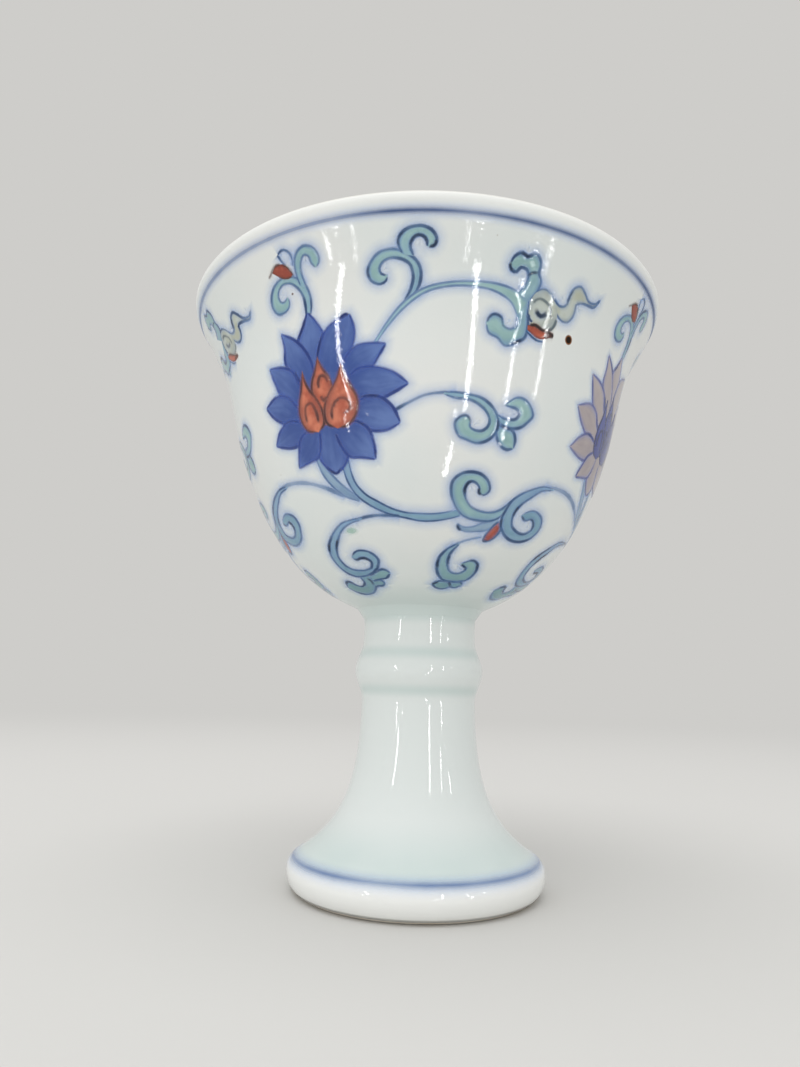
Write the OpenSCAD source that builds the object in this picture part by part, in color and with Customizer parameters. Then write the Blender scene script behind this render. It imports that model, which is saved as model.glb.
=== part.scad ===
// Porcelain stem cup: a thrown bowl luted on a hollow stem, glazed inside and out.
// Millimetres, +Z up, origin on the table at the centre of the foot.
// Outside sizes are finished sizes: each glaze coat lies inside them.

/* [Cup] */
// Height from the table to the top of the lip
cup_h = 76; // [72:0.2:84]
// Diameter of the mouth, over the lip
rim_d = 65; // [60:0.5:72]

/* [Bowl] */
// Outside diameter of the wall where it starts to flare towards the lip
wall_d = 52.8; // [49:0.2:57]
// Height of the flaring part of the wall, up to the lip
flare_h = 15.5; // [12:0.1:18]
// Lean of the wall from upright where the flare starts, in degrees
wall_lean = 13; // [9:1:17]
// Lean of the wall from upright at the lip, in degrees
lip_lean = 30; // [22:1:36]
// Slope of the underside where it leaves the fillet, in degrees
base_rise = 25; // [18:1:32]
// Thickness of the lip, both glazes included
lip_t = 1.6; // [1.3:0.1:2]
// Thickness of the wall where the flare starts, both glazes included
wall_t = 2.1; // [1.7:0.1:2.6]
// Height of the bowl's floor above the top of the stem
floor_h = 5; // [4:0.1:6]
// How far the floor runs out nearly level before it turns up
floor_reach = 16; // [14:0.5:18]

/* [Stem] */
// Height of the top of the stem above the table
stem_h = 33; // [30:0.2:36]
// Diameter of the stem above and below its ring
stem_d = 15; // [14:0.1:17]
// Drop from the top of the stem to the crest of the ring
ring_drop = 6; // [5:0.2:8]
// Height of the ring, from edge to edge
ring_h = 7.6; // [6:0.2:8.6]
// How far the ring stands out from the stem
ring_rise = 1; // [0.6:0.1:1.6]
// Straight neck between the top of the stem and the fillet under the bowl
neck_h = 0.5; // [0.3:0.1:1]
// Height of the fillet under the bowl
fillet_h = 2.5; // [2:0.1:3.5]
// How far the fillet reaches out from the neck
fillet_w = 3; // [2:0.1:4]

/* [Foot] */
// Diameter of the foot at its widest
foot_d = 32.5; // [30:0.1:36]
// Height of the widest place of the foot
foot_widest_h = 2.6; // [2:0.1:3.2]
// Height of the foot's shoulder, where the flare of the stem starts
shoulder_h = 4.1; // [3.8:0.1:5]
// Rounding of the foot band, from its widest place to the resting ring
foot_round = 1.9; // [1.4:0.1:2.4]
// Width of the flat ring that the cup rests on
rest_ring_w = 2.2; // [1.6:0.1:2.8]

/* [Hollow of the stem] */
// Diameter of the straight part of the hollow
hollow_d = 9; // [7.4:0.1:10]
// Height above the table where the hollow becomes straight
hollow_flare_h = 19; // [16:0.5:21]
// Height of the rounded end of the hollow
hollow_dome_h = 3; // [2:0.1:4]
// Clay left between the hollow and the socket above it
hollow_cap = 2.8; // [1.8:0.1:3.6]

/* [Luted join] */
// Diameter of the spigot under the bowl
spigot_d = 9.2; // [7.6:0.1:10]
// Length of the spigot
spigot_h = 2; // [1.4:0.1:2.6]
// Thickness of the slip all round the join
slip_t = 0.4; // [0.3:0.05:0.6]

/* [Glaze and lines] */
// Thickness of each glaze coat
glaze_t = 0.3; // [0.2:0.05:0.4]
// Height left bare inside the foot, where the glaze is wiped off
bare_h = 1; // [0.6:0.1:1.6]
// Drop from the top of the lip to the middle of the blue rim line
rim_line_drop = 2.2; // [1.6:0.1:3]
// Height of each blue line
line_w = 0.6; // [0.4:0.1:1]

/* [Curves] */
// How far the flare of the stem runs in along the foot's shoulder
foot_sweep = 6.9; // [5.5:0.1:8]
// How far the flare of the stem runs down along the straight stem
stem_sweep = 10.6; // [8:0.1:12]
// How far the fillet under the bowl follows the neck
fillet_sweep = 1.4; // [1:0.1:1.8]
// How far the fillet under the bowl follows the underside
base_sweep = 2.1; // [1.5:0.1:2.6]
// How far the belly follows its tangent at each end
belly_sweep = 9.9; // [8:0.1:12]
// How far the flare of the wall follows its tangent at each end
lip_sweep = 7.3; // [6:0.1:8.5]
// How far the inside of the bowl follows the wall down
inner_sweep = 12; // [10:0.1:14]
// How far the hollow follows its straight part down
hollow_sweep = 11; // [9:0.1:13]
// How far the hollow rises from the wiped ring before it turns in
mouth_sweep = 2; // [1.4:0.1:2.6]

/* [Hidden] */
$fn = 128;

// Colours of the fired clay, the slip, the glaze coats and the cobalt
clay_colour = [0.87, 0.84, 0.79];
slip_colour = [0.92, 0.90, 0.86];
glaze_colour = [0.88, 0.91, 0.90];
lining_colour = [0.91, 0.93, 0.92];
cobalt_colour = [0.22, 0.30, 0.60];

// Steps along each curve
arc_steps = 6;
curve_steps = 16;
ring_steps = 16;

// Turn of the foot band above its widest place, and its bare part below
shoulder_turn = 52;
bare_turn = 30;
// Rise of the flare where it leaves the foot's shoulder
flare_rise = 31;

// Stations of the stem and the foot
stem_r = stem_d / 2;
ring_bottom = stem_h - ring_drop - ring_h / 2;
flat_r = foot_d / 2 - foot_round;
rest_inner_r = flat_r - rest_ring_w;

// Stations of the bowl
fillet_bottom = [stem_r, stem_h + neck_h];
fillet_top = fillet_bottom + [fillet_w, fillet_h];
wall_out = [wall_d / 2, cup_h - flare_h];
wall_in = wall_out - wall_t * outward(wall_lean);
lip_r = lip_t / 2;
lip_centre = [rim_d / 2 - lip_r, cup_h - lip_r];
floor_centre = [0, stem_h + floor_h];

// Stations of the join and of the hollow below it
spigot_r = spigot_d / 2;
spigot_bottom = stem_h - spigot_h;
socket_r = spigot_r + slip_t;
socket_floor = spigot_bottom - slip_t;
seat_z = stem_h - slip_t;
hollow_r = hollow_d / 2;
hollow_top = socket_floor - hollow_cap - glaze_t;
neck_body_r = stem_r - glaze_t;

// Direction that leans out from upright by an angle, and the one square to it, pointing out
function upward(lean) = [sin(lean), cos(lean)];
function outward(lean) = [cos(lean), -sin(lean)];

// Points of a cubic curve, and of an ellipse's arc
function curve(a, b, c, d) = [
    for (i = [0:curve_steps])
        let (t = i / curve_steps, s = 1 - t)
            s * s * s * a + 3 * s * s * t * b + 3 * s * t * t * c + t * t * t * d
];
function arc(centre, rx, rz, from, to) = [
    for (i = [0:arc_steps])
        let (a = from + (to - from) * i / arc_steps)
            centre + [rx * cos(a), rz * sin(a)]
];

// Lists of points: without the first one, a stretch of them, and the other way round
function after_first(list) = stretch(list, 1, len(list) - 1);
function stretch(list, first, last) = [for (i = [first:last]) list[i]];
function reverse(list) = [for (i = [len(list) - 1:-1:0]) list[i]];

// A path moved towards its left side by d; points on the cup's axis stay on it
function inset(path, d) = [
    for (i = [0:len(path) - 1])
        let (
            ahead = path[min(i + 1, len(path) - 1)],
            behind = path[max(i - 1, 0)],
            t = (ahead - behind) / norm(ahead - behind),
            p = path[i] + d * [-t[1], t[0]]
        )
            [path[i][0] == 0 ? 0 : p[0], p[1]]
];

// The foot band, from the resting ring up to its shoulder
foot_centre = [flat_r, foot_widest_h];
bare_band = arc(foot_centre, foot_round, foot_widest_h, -90, bare_turn - 90);
glazed_band = arc(foot_centre, foot_round, foot_widest_h, bare_turn - 90, 0);
band_top_rise = (shoulder_h - foot_widest_h) / sin(shoulder_turn);
band_top = arc(foot_centre, foot_round, band_top_rise, 0, shoulder_turn);

// The stem's outside, from the shoulder up to the join
shoulder = band_top[arc_steps];
stem_flare = curve(
    shoulder,
    shoulder + foot_sweep * [-cos(flare_rise), sin(flare_rise)],
    [stem_r, ring_bottom - stem_sweep],
    [stem_r, ring_bottom]
);
stem_ring = [
    for (i = [0:ring_steps])
        [stem_r + ring_rise * (1 - cos(360 * i / ring_steps)) / 2, ring_bottom + ring_h * i / ring_steps]
];
stem_skin = concat(
    glazed_band, after_first(band_top), after_first(stem_flare), after_first(stem_ring), [[stem_r, seat_z]]
);

// The bowl's outside, from the join up to the crest of the lip
fillet = curve(
    fillet_bottom,
    fillet_bottom + [0, fillet_sweep],
    fillet_top - base_sweep * [cos(base_rise), sin(base_rise)],
    fillet_top
);
lip_out = lip_centre + lip_r * outward(lip_lean);
belly = curve(
    fillet_top,
    fillet_top + belly_sweep * [cos(base_rise), sin(base_rise)],
    wall_out - belly_sweep * upward(wall_lean),
    wall_out
);
flare = curve(
    wall_out,
    wall_out + lip_sweep * upward(wall_lean),
    lip_out - lip_sweep * upward(lip_lean),
    lip_out
);
lip_front = arc(lip_centre, lip_r, lip_r, -lip_lean, 90);
bowl_skin = concat(
    [[stem_r, stem_h]], fillet, after_first(belly), after_first(flare), after_first(lip_front)
);

// The bowl's inside, from the crest of the lip down to the middle of the floor
lip_back = arc(lip_centre, lip_r, lip_r, 90, 180 - lip_lean);
lip_in = lip_centre - lip_r * outward(lip_lean);
inner_flare = curve(
    lip_in,
    lip_in - lip_sweep * upward(lip_lean),
    wall_in + lip_sweep * upward(wall_lean),
    wall_in
);
inner_bowl = curve(
    wall_in,
    wall_in - inner_sweep * upward(wall_lean),
    floor_centre + [floor_reach, 0],
    floor_centre
);
lining = concat(after_first(lip_back), after_first(inner_flare), after_first(inner_bowl));

// The glazed skin in one path, and the clay's face under it
skin = concat(stem_skin, bowl_skin, lining);
clay = inset(skin, glaze_t);
join = len(stem_skin);
crest = join + len(bowl_skin) - 1;
last = len(skin) - 1;

// The hollow of the stem, from its rounded end down to the wiped ring, and the clay behind it
hollow_skin = concat(
    reverse(arc([0, hollow_top - hollow_dome_h], hollow_r, hollow_dome_h, 0, 90)),
    curve(
        [hollow_r, hollow_flare_h],
        [hollow_r, hollow_flare_h - hollow_sweep],
        [rest_inner_r, bare_h + mouth_sweep],
        [rest_inner_r, bare_h]
    )
);
hollow_clay = inset(hollow_skin, glaze_t);

// A coat of glaze over the stretch of skin between two of its points
module coat(first, end) {
    rotate_extrude()
        polygon(concat(stretch(skin, first, end), reverse(stretch(clay, first, end))));
}

// A level slice through everything at the height of a painted line
module line_slice(z) {
    translate([0, 0, z - line_w / 2])
        cylinder(h = line_w, d = rim_d + foot_d);
}

// The thrown and trimmed bowl, with the spigot that centres it on the stem
module bowl_body() {
    color(clay_colour)
        rotate_extrude()
            polygon(concat(
                [[0, spigot_bottom], [spigot_r, spigot_bottom], [spigot_r, stem_h]],
                stretch(clay, join, last)
            ));
}

// The hollow stem with its ring and flared foot; the ring under the foot is bare clay
module stem_body() {
    color(clay_colour)
        rotate_extrude()
            polygon(concat(
                [[rest_inner_r, 0]],
                bare_band,
                stretch(clay, 0, join - 1),
                [[socket_r, seat_z], [socket_r, socket_floor], [0, socket_floor]],
                hollow_clay,
                [[rest_inner_r, bare_h]]
            ));
}

// The slip that joins bowl and stem: a ring between the seats and a cup round the spigot
module luting_slip() {
    color(slip_colour)
        rotate_extrude()
            polygon([
                [0, socket_floor], [socket_r, socket_floor], [socket_r, seat_z], [neck_body_r, seat_z],
                [neck_body_r, stem_h], [spigot_r, stem_h], [spigot_r, spigot_bottom], [0, spigot_bottom]
            ]);
}

// The outer coat, from the foot band to the crest of the lip, with room for the stained lines
module outer_glaze() {
    color(glaze_colour)
        difference() {
            coat(0, crest);
            line_slice(cup_h - rim_line_drop);
            line_slice(shoulder_h);
        }
}

// The coat poured into the bowl
module bowl_lining_glaze() {
    color(lining_colour)
        coat(crest, last);
}

// The coat inside the hollow of the stem
module stem_lining_glaze() {
    color(lining_colour)
        rotate_extrude()
            polygon(concat(hollow_skin, reverse(hollow_clay)));
}

// Cobalt lines; the pigment stains the coat through its whole thickness
module rim_line() {
    color(cobalt_colour)
        intersection() {
            coat(join, crest);
            line_slice(cup_h - rim_line_drop);
        }
}

module foot_line() {
    color(cobalt_colour)
        intersection() {
            coat(0, join);
            line_slice(shoulder_h);
        }
}

bowl_body();
stem_body();
luting_slip();
outer_glaze();
bowl_lining_glaze();
stem_lining_glaze();
rim_line();
foot_line();
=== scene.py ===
import bisect
import math

import bmesh
import bpy
import numpy
from mathutils import Matrix, Vector


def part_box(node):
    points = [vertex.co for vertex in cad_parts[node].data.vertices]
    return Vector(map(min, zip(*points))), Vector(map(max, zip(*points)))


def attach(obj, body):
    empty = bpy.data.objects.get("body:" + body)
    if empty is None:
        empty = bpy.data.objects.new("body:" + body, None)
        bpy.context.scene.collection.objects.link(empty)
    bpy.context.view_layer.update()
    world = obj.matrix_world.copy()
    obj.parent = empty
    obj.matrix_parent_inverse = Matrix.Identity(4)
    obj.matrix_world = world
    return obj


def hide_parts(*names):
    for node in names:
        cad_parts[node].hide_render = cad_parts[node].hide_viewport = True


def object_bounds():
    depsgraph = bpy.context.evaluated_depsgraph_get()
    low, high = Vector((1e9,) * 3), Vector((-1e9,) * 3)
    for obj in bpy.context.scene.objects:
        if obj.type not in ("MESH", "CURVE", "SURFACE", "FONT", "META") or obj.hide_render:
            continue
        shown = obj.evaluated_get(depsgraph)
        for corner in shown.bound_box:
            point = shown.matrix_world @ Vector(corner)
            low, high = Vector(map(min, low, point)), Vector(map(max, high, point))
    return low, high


# A porcelain stem cup, painted with a lotus scroll. Lengths are in metres. Only the painting's chart
# counts degrees round the cup from its front, and millimetres down its outside from the lip.
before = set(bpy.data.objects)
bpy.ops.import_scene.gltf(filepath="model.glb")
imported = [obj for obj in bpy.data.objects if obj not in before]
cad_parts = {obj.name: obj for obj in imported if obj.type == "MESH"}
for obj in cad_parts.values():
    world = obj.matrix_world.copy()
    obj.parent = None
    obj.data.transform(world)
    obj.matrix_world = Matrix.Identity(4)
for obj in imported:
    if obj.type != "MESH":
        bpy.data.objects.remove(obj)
cad_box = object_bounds()

MM = 0.001
LIP_TOP = cad_box[1][2]

# The turned coats of glaze: their steps round the cup and along its outline, how far a face has to look a
# coat's way to be one of its own, and how close two points have to be to count as one
TURN_STEPS = 200
SKIN_STEP = 0.55 * MM
CLAY_STEP = 3 * MM
FACING = 0.02
LEAST_GAP = 0.02 * MM
POLE_WELD = 0.002 * MM

# The glaze, with the heights between which each change in it begins and ends, from the foot up to the lip
GLAZE_IOR = 1.5
PEEL_DEPTH = 0.014 * MM
CLAY_GRAIN_DEPTH = 0.06 * MM
SHOULDER = (3.4 * MM, 4.2 * MM)
FOOT_POOL_STARTS = (3.8 * MM, 4.6 * MM)
FOOT_WHITE_ENDS = (4 * MM, 6 * MM)
FOOT_POOL_ENDS = (5 * MM, 10 * MM)
BELOW_RING = 24.5 * MM
BELOW_RING_POOL = 1.1 * MM
ABOVE_RING = 29.2 * MM
ABOVE_RING_POOL = 1.2 * MM
NECK_POOL_STARTS = (32.5 * MM, 33.8 * MM)
NECK_POOL_ENDS = (34.5 * MM, 38 * MM)
STEM_ENDS = (34 * MM, 43 * MM)
PEEL_ROUGHENS = (34 * MM, 44 * MM)
LOW_LEAVES_END = (36.5 * MM, 41 * MM)
LIP_DULLS = (LIP_TOP - 3.1 * MM, LIP_TOP - 2.3 * MM)
# The glaze runs thin over the lip and is whiter there; this whitening is also a painted highlight for the
# light that the lip's top catches
LIP_THIN_GLAZE_AND_HIGHLIGHT = (LIP_TOP - 2.2 * MM, LIP_TOP - 0.4 * MM)
# The lip's crest is darker: painted shade that keeps it from burning out under the overhead lamp
LIP_CREST_PAINTED_SHADE = (LIP_TOP - 0.6 * MM, LIP_TOP - 0.1 * MM)

# The brush: the name of its map, then in millimetres a degree of the flat drawing that spaces its steps
# and the step along a line, then how many of those a step along a patch takes, the fewest steps in each,
# the steps across a patch, and those that tell which side of an edge is outside
BRUSH_MAP = "brush"
FLAT_DEGREE = 0.42
BRUSH_STEP = 0.3
PATCH_STEP = 1.5
LINE_LEAST = 6
PATCH_LEAST = 8
PATCH_ACROSS = 6
SIDE_STEPS = 20

# Brush lines, in millimetres, with the share of the width that they lose at each end, the share of the
# length over which they lose it, and the most of a bend's radius that they may fill on its inner side
LINE_W = 1.3
PETAL_LINE_W = 1.25
FLAME_LINE_W = 1
VINE_LINE_W = 0.8
WHORL_W = 1.4
HEAP_W = 1.1
PETAL_HEAP_W = 0.9
END_THINNING = 0.5
END_SHARE = 1 / 6
INNER_SHARE = 0.8

# The lines turned round the lip and the foot, in millimetres
RIM_W = 2.4
FOOT_W = 3.6
RING_STEPS = 12

# How far the cobalt of each kind of line bled sideways into the glaze, in millimetres
BLEED_W = {"scroll_lines": 1.4, "vine_lines": 1.2, "lotus_lines": 1.3, "violet_lines": 1}
BLEED_STEPS = 4

# How far the paint stands out from the glaze, first and for each layer, how deep it goes, how close two of
# its corners have to be to count as one, and some layers
FIRST_LIFT = 0.012 * MM
LAYER_LIFT = 0.006 * MM
PAINT_DEPTH = 0.16 * MM
PAINT_WELD = 0.0002 * MM
BLEED_LAYER = -1.2
RING_LAYER = 4
HEAP_LAYER = 9

# The four repeats of the scroll, by hand and so not quite even: the degrees at which each starts, and how
# far it slips from there at a few depths, as depth and degrees round, and as depth and millimetres down
REPEATS = (
    (0, [(0, 0)], [(0, 0)]),
    (92, [(28, 0), (36, 4)], [(20, -0.7), (26, -0.4), (30, -0.9), (34, 0)]),
    (181, [(28, 0), (36, -2)], [(10, 0.4), (24, 0)]),
    (270, [(8, 0), (20, 1), (28, 0), (36, -7)], [(8, 1.2), (20, -0.6), (30, 0)]),
)

# How far the cloud of each repeat drops for each degree towards its ribbon's end, in millimetres
CLOUD_TILTS = (0, 0.03, -0.02, 0.13)
RIBBON_END = 44

# The photograph's camera
CAMERA_PLACE = (0, -0.1008, 0.0251)
CAMERA_YAW = 0.0292
CAMERA_PITCH = 0.2020
CAMERA_ROLL = -0.0236
PHOTO_H = 1067
FOCAL_PIXELS = 740
SENSOR_W = 36


def shade(red, green, blue):
    """A colour as the eye reads it, from 0 to 255, in the renderer's linear light."""
    linear = [((level / 255 + 0.055) / 1.055) ** 2.4 for level in (red, green, blue)]
    return (*linear, 1)


# Shader nodes
class Value:
    """A number that nodes work out, so that shader maths is written as a Python expression."""

    def __init__(self, nodes, socket):
        self.nodes = nodes
        self.socket = socket

    def math(self, operation, first, second):
        return self.nodes.node("ShaderNodeMath", {"operation": operation}, {0: first, 1: second})

    def __add__(self, other):
        return self.math("ADD", self, other)

    def __radd__(self, other):
        return self.math("ADD", other, self)

    def __sub__(self, other):
        return self.math("SUBTRACT", self, other)

    def __rsub__(self, other):
        return self.math("SUBTRACT", other, self)

    def __mul__(self, other):
        return self.math("MULTIPLY", self, other)

    def __rmul__(self, other):
        return self.math("MULTIPLY", other, self)

    def __pow__(self, other):
        return self.math("POWER", self, other)

    def __or__(self, other):
        return self.math("MAXIMUM", self, other)

    def __abs__(self):
        return self.nodes.node("ShaderNodeMath", {"operation": "ABSOLUTE"}, {0: self})


class Nodes:
    """The nodes of a material or of the world."""

    def __init__(self, tree):
        self.tree = tree

    def node(self, kind, settings=None, inputs=None, output=0):
        """A new node with its settings made and its sockets filled; gives one of its outputs."""
        made = self.tree.nodes.new(kind)
        for name, setting in (settings or {}).items():
            setattr(made, name, setting)
        for key, value in (inputs or {}).items():
            self.feed(made.inputs[key], value)
        return Value(self, made.outputs[output])

    def feed(self, socket, value):
        if isinstance(value, Value):
            self.tree.links.new(value.socket, socket)
        else:
            socket.default_value = value

    def place(self):
        return self.node("ShaderNodeTexCoord", output="Object")

    def height(self):
        return self.axis(self.place(), "Z")

    def seen(self):
        """1 for rays that show a surface, straight or in gloss or glass, and 0 for those that light it."""
        straight = self.node("ShaderNodeLightPath", output="Is Camera Ray")
        mirrored = self.node("ShaderNodeLightPath", output="Is Glossy Ray")
        through = self.node("ShaderNodeLightPath", output="Is Transmission Ray")
        return straight | mirrored | through

    def noise(self, scale, detail=2, where=None):
        where = where or self.place()
        return self.node("ShaderNodeTexNoise", None, {"Vector": where, "Scale": scale, "Detail": detail})

    def ease(self, value, start, end):
        """Rises smoothly from 0 to 1 as the value goes from start to end."""
        return self.node(
            "ShaderNodeMapRange",
            {"interpolation_type": "SMOOTHSTEP"},
            {"Value": value, "From Min": start, "From Max": end},
        )

    def mix(self, share, first, second):
        """Two colours mixed: all the first at a share of 0, all the second at 1."""
        return self.node("ShaderNodeMix", {"data_type": "RGBA"}, {0: share, 6: first, 7: second}, output=2)

    def axis(self, vector, name):
        return self.node("ShaderNodeSeparateXYZ", None, {0: vector}, output=name)

    def brush(self):
        return self.node("ShaderNodeUVMap", {"uv_map": BRUSH_MAP})

    def along(self):
        """Place along a brush stroke or a painted patch, from 0 at its root to 1 at its tip."""
        return self.axis(self.brush(), "X")

    def across(self):
        """Place across a brush stroke or a painted patch, from 0 on one edge to 1 on the other."""
        return self.axis(self.brush(), "Y")

    def aside(self):
        """How far a place lies from the middle of a stroke or patch: 0 there, and 1 on both edges."""
        return abs(self.across() * 2 - 1)

    def streaks(self, along, across):
        """Brush marks drawn out from the root of a patch to its tip, and different from patch to patch."""
        shift = self.node("ShaderNodeVectorMath", {"operation": "SCALE"}, {0: self.place(), "Scale": 90})
        stretch = {0: self.brush(), 1: (along, across, 0), 2: shift}
        return self.noise(1, 3, self.node("ShaderNodeVectorMath", {"operation": "MULTIPLY_ADD"}, stretch))


class Finish(Nodes):
    """A material: nodes that feed one Principled shader, whose constants are set on its own sockets."""

    def __init__(self, name, **constants):
        self.material = bpy.data.materials.new(name)
        self.material.use_nodes = True
        super().__init__(self.material.node_tree)
        self.shader = self.tree.nodes["Principled BSDF"]
        for socket, value in constants.items():
            self.shader.inputs[socket.replace("_", " ")].default_value = value

    def set(self, **sockets):
        for socket, value in sockets.items():
            self.feed(self.shader.inputs[socket.replace("_", " ")], value)
        return self.material

    def gloss(self, relief=0):
        """The fired surface of glaze: an orange peel, rougher on the bowl, slow waves and any relief.

        Its polish is a little uneven, and dull where it drew thin off the lip.
        """
        height = self.height()
        rough = 0.1 + self.ease(height, *PEEL_ROUGHENS) * 0.36
        dull = self.ease(height, *LIP_DULLS) * 0.4
        peel = self.noise(2900, 1) * rough + self.noise(260, 1) * 1.2 + relief
        bump = self.node("ShaderNodeBump", None, {"Strength": 1, "Distance": PEEL_DEPTH, "Height": peel})
        self.set(Normal=bump, Roughness=0.03 + self.noise(90) * 0.03 + dull)

    def crown(self):
        """Height of enamel that stands proud in the middle of a patch, in the gloss's own measure."""
        return (1 - self.aside() ** 3) * 2.5


# Finishes
def glaze_finish():
    """Clear glaze over white porcelain: white where it is thin, bluer where it ran thick in the hollows.

    The lip's whiteness is partly a painted highlight, and its crest carries painted shade.
    """
    glaze = Finish("clear_glaze", IOR=GLAZE_IOR)
    glaze.gloss()
    height = glaze.height()
    cloud = glaze.ease(glaze.noise(45, 3), 0.35, 0.7)
    white = glaze.mix(cloud, shade(228, 230, 227), shade(222, 228, 226))
    # White at the foot and the lip where the glaze is thin; at the lip this is also a painted highlight
    thin = (1 - glaze.ease(height, *FOOT_WHITE_ENDS)) | glaze.ease(height, *LIP_THIN_GLAZE_AND_HIGHLIGHT)
    tint = glaze.mix(thin, white, shade(236, 237, 234))
    # Painted shade on the lip's crest
    tint = glaze.mix(glaze.ease(height, *LIP_CREST_PAINTED_SHADE), tint, shade(222, 221, 214))
    on_stem = glaze.ease(height, *SHOULDER) * (1 - glaze.ease(height, *STEM_ENDS))
    tint = glaze.mix(on_stem * 0.9, tint, shade(220, 226, 224))
    under_bowl = glaze.ease(height, *NECK_POOL_STARTS) * (1 - glaze.ease(height, *NECK_POOL_ENDS))
    above_ring = 1 - glaze.ease(abs(height - ABOVE_RING), 0, ABOVE_RING_POOL)
    below_ring = 1 - glaze.ease(abs(height - BELOW_RING), 0, BELOW_RING_POOL)
    above_foot = glaze.ease(height, *FOOT_POOL_STARTS) * (1 - glaze.ease(height, *FOOT_POOL_ENDS))
    pooled = (under_bowl | above_ring | below_ring | above_foot) * (0.45 + glaze.noise(160) * 0.4)
    tint = glaze.mix(pooled, tint, shade(196, 211, 208))
    speck = glaze.node("ShaderNodeTexVoronoi", None, {"Vector": glaze.place(), "Scale": 140})
    speckled = (1 - glaze.ease(speck, 0.008, 0.018)) * 0.35
    return glaze.set(Base_Color=glaze.mix(speckled, tint, shade(150, 135, 110)))


def clay_finish():
    """Bare fired porcelain, warm and dry."""
    clay = Finish("bare_clay")
    grain = clay.noise(1400, 3)
    toast = clay.ease(clay.noise(120, 2), 0.4, 0.75)
    colour = clay.mix(toast * 0.6, shade(226, 219, 206), shade(206, 186, 160))
    bump = clay.node(
        "ShaderNodeBump", None, {"Strength": 0.6, "Distance": CLAY_GRAIN_DEPTH, "Height": grain}
    )
    return clay.set(Base_Color=colour, Roughness=0.72 + grain * 0.2, Normal=bump)


def line_finish(name, core, heaped, bleed, reach=0.46, soak=0.5, fade=0.04):
    """A brush line: dark along the middle, darker where the paint heaped, and a pale bleed on both sides.

    Reach is how far out the dark middle goes, soak how strong the bleed is, and fade the share of the line
    over which each end runs out.
    """
    line = Finish(name, IOR=GLAZE_IOR)
    line.gloss()
    aside, along = line.aside(), line.along()
    load = line.ease(line.noise(260, 3), 0.3, 0.7)
    middle = 1 - line.ease(aside, 0.02 + load * 0.12, reach + load * 0.1)
    halo = (1 - aside) ** 2 * (soak * 0.7 + load * soak * 0.6)
    colour = line.mix(middle, bleed, line.mix(line.ease(load, 0.35, 1), core, heaped))
    cover = (middle * (0.68 + load * 0.32)) | halo
    ends = line.ease(along, 0, fade) * (1 - line.ease(along, 1 - fade, 1))
    return line.set(Base_Color=colour, Alpha=cover * ends)


def bleed_finish():
    """Cobalt that spread in the glaze beside the lines, paler as it goes out."""
    bleed = Finish("cobalt_bleed", IOR=GLAZE_IOR)
    bleed.gloss()
    out, along = bleed.across(), bleed.along()
    spread = (1 - out) ** 1.3 * (0.2 + bleed.noise(90, 3) * 0.7)
    ends = bleed.ease(along, 0, 0.04) * (1 - bleed.ease(along, 0.96, 1))
    colour = bleed.mix(out, shade(116, 150, 206), shade(146, 176, 218))
    return bleed.set(Base_Color=colour, Alpha=spread * ends)


def ring_finish(name, thin, heavy, bleed, sharp, lean):
    """A line turned round the cup on the wheel: strongest along its middle, soft on both sides and uneven.

    Sharp is how fast it fades away from its middle, and lean how much heavier it gets for each metre to the
    right.
    """
    ring = Finish(name, IOR=GLAZE_IOR)
    ring.gloss()
    load = ring.ease(ring.noise(60, 2) + ring.axis(ring.place(), "X") * lean, 0.25, 0.75)
    grain = ring.noise(600, 2) * 0.2
    cover = (1 - ring.aside()) ** sharp * (0.7 + load * 0.3 + grain)
    colour = ring.mix(ring.ease(ring.aside(), 0.05, 0.55), ring.mix(load, thin, heavy), bleed)
    return ring.set(Base_Color=colour, Alpha=cover)


def petal_finish(name, deep, pale, rim, rim_share):
    """A wash inside a petal, streaked by the brush, paler to its tip and darker along its sides."""
    wash = Finish(name, IOR=GLAZE_IOR)
    wash.gloss()
    uneven = wash.noise(240, 3) * 0.5 + wash.streaks(2.5, 7) * 0.2 + wash.noise(80, 1) * 0.4
    colour = wash.mix(wash.ease(uneven + wash.along() * 0.25, 0.52, 0.86), deep, pale)
    side = wash.ease(wash.aside(), 0.45, 1.0) * rim_share
    return wash.set(Base_Color=wash.mix(side, colour, rim))


def enamel_finish(name, deep, pale, rim):
    """A patch of enamel, thin in the middle and gathered along its edges and in its tip."""
    enamel = Finish(name, IOR=GLAZE_IOR)
    enamel.gloss(enamel.crown())
    pools = enamel.ease(enamel.noise(420, 3), 0.4, 0.6)
    gathered = (enamel.ease(enamel.aside(), 0.3, 1.0) | enamel.ease(enamel.along(), 0.7, 1.0)) * 0.75
    return enamel.set(Base_Color=enamel.mix(gathered, enamel.mix(pools, deep, pale), rim))


def leaf_finish(name, root, root_thin, tip, tip_thin, edge, low_share):
    """Enamel on a leaf of the scroll, from one colour at its root to another at its tip.

    It gathered at the leaf's edge. Low share is how far the leaves at the bottom of the bowl turn to a
    deeper blue-green.
    """
    leaf = Finish(name, IOR=GLAZE_IOR)
    leaf.gloss(leaf.crown())
    pools = leaf.noise(380, 2) * 0.5 + leaf.streaks(5, 3) * 0.5
    thin = leaf.ease(pools, 0.38, 0.62)
    ripe = leaf.ease(leaf.along() + pools * 0.4, 0.25, 0.75)
    colour = leaf.mix(ripe, leaf.mix(thin, root, root_thin), leaf.mix(thin, tip, tip_thin))
    low = 1 - leaf.ease(leaf.height(), *LOW_LEAVES_END)
    colour = leaf.mix(low * low_share, colour, shade(88, 132, 146))
    gathered = leaf.ease(leaf.aside(), 0.35, 1.0) * 0.6
    return leaf.set(Base_Color=leaf.mix(gathered, colour, edge))


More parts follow.
